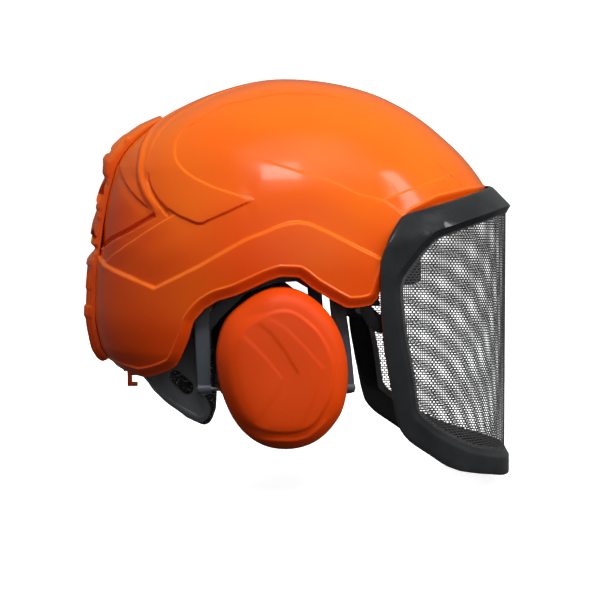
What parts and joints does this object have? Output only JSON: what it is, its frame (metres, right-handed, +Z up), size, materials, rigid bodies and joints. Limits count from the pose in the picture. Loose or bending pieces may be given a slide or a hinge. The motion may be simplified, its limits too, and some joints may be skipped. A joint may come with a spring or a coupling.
{
  "type": "forestry helmet",
  "caption": "Forestry safety helmet with a raising mesh visor, height-adjustable swing-out ear muffs and a knob-adjusted nape cradle.",
  "frame": {"origin": "middle of the head opening at brow height, on the helmet's mid-plane", "axes": "+X forward, +Y to the wearer's left, +Z up"},
  "size_m": [0.3178, 0.245, 0.2916],
  "materials": {
    "shell_orange": "glossy moulded orange",
    "liner_black": "matt moulded black",
    "strap_grey": "satin slate grey",
    "pad_fabric": "black spacer knit",
    "cushion_black": "soft matt black skin",
    "foam_grey": "open-cell foam",
    "frame_black": "satin black, lightly grained",
    "mesh_black": "black coated etched steel mesh",
    "retainer_grey": "satin grey",
    "yoke_slate": "satin dark slate",
    "steel": "zinc plated"
  },
  "bodies": {
    "helmet": {"outer_shell": "shell_orange", "rear_vent_cover": "shell_orange", "inner_shell": "liner_black", "crown_pad": "pad_fabric", "rear_pad": "pad_fabric", "headband_front": "liner_black", "brow_pad": "pad_fabric", "side_strap_right": "strap_grey", "side_strap_left": "strap_grey", "band_clips": "liner_black", "chin_anchor_right": "liner_black", "chin_anchor_left": "liner_black", "muff_bracket_right": "yoke_slate", "muff_bracket_left": "yoke_slate", "bracket_screws": "steel", "visor_pivot_right": "frame_black", "visor_pivot_left": "frame_black", "pivot_screws": "steel", "rear_hooks": "shell_orange"},
    "visor": {"visor_arm_right": "frame_black", "visor_arm_left": "frame_black", "visor_frame": "frame_black", "visor_mesh": "mesh_black", "mesh_retainer": "retainer_grey", "visor_bolts": "steel"},
    "slider_right": {"height_slider_right": "yoke_slate", "hinge_pin_right": "steel"},
    "slider_left": {"height_slider_left": "yoke_slate", "hinge_pin_left": "steel"},
    "yoke_right": {"yoke_right": "yoke_slate"},
    "yoke_left": {"yoke_left": "yoke_slate"},
    "cup_right": {"cup_cap_right": "shell_orange", "cup_base_right": "liner_black", "cup_cushion_right": "cushion_black", "cup_foam_right": "foam_grey", "cup_pins_right": "steel"},
    "cup_left": {"cup_cap_left": "shell_orange", "cup_base_left": "liner_black", "cup_cushion_left": "cushion_black", "cup_foam_left": "foam_grey", "cup_pins_left": "steel"},
    "nape": {"nape_cradle": "strap_grey", "nape_pad": "pad_fabric", "cradle_studs": "steel", "adjuster_housing": "strap_grey"},
    "knob": {"adjuster_knob": "strap_grey", "knob_shaft": "steel"}
  },
  "joints": [
    {"name": "visor_raise", "type": "hinge", "parent": "helmet", "child": "visor", "pos_m": [0.015, 0, 0.0285], "axis": [0, -1, 0], "range_deg": [0, 48]},
    {"name": "muff_height_right", "type": "slide", "parent": "helmet", "child": "slider_right", "axis": [0, 0, -1], "range_m": [0, 0.018]},
    {"name": "muff_swing_right", "type": "hinge", "parent": "slider_right", "child": "yoke_right", "pos_m": [-0.02, -0.091, 0.008], "axis": [-1, 0, 0], "range_deg": [0, 10]},
    {"name": "cup_tilt_right", "type": "hinge", "parent": "yoke_right", "child": "cup_right", "pos_m": [-0.0135, -0.09125, -0.08], "axis": [1, 0, 0], "range_deg": [-5, 5]},
    {"name": "muff_height_left", "type": "slide", "parent": "helmet", "child": "slider_left", "axis": [0, 0, -1], "range_m": [0, 0.018]},
    {"name": "muff_swing_left", "type": "hinge", "parent": "slider_left", "child": "yoke_left", "pos_m": [-0.02, 0.091, 0.008], "axis": [1, 0, 0], "range_deg": [0, 10]},
    {"name": "cup_tilt_left", "type": "hinge", "parent": "yoke_left", "child": "cup_left", "pos_m": [-0.0135, 0.09125, -0.08], "axis": [1, 0, 0], "range_deg": [-5, 5]},
    {"name": "nape_fit", "type": "slide", "parent": "helmet", "child": "nape", "axis": [1, 0, 0], "range_m": [-0.005, 0.0135]},
    {"name": "knob_turn", "type": "hinge", "parent": "nape", "child": "knob", "pos_m": [-0.118, 0, -0.06], "axis": [1, 0, 0], "range_deg": [-57.3, 154.7]}
  ],
  "couplings": [
    {"joint": "knob_turn", "follows": "nape_fit", "rad_per_m": 200}
  ]
}
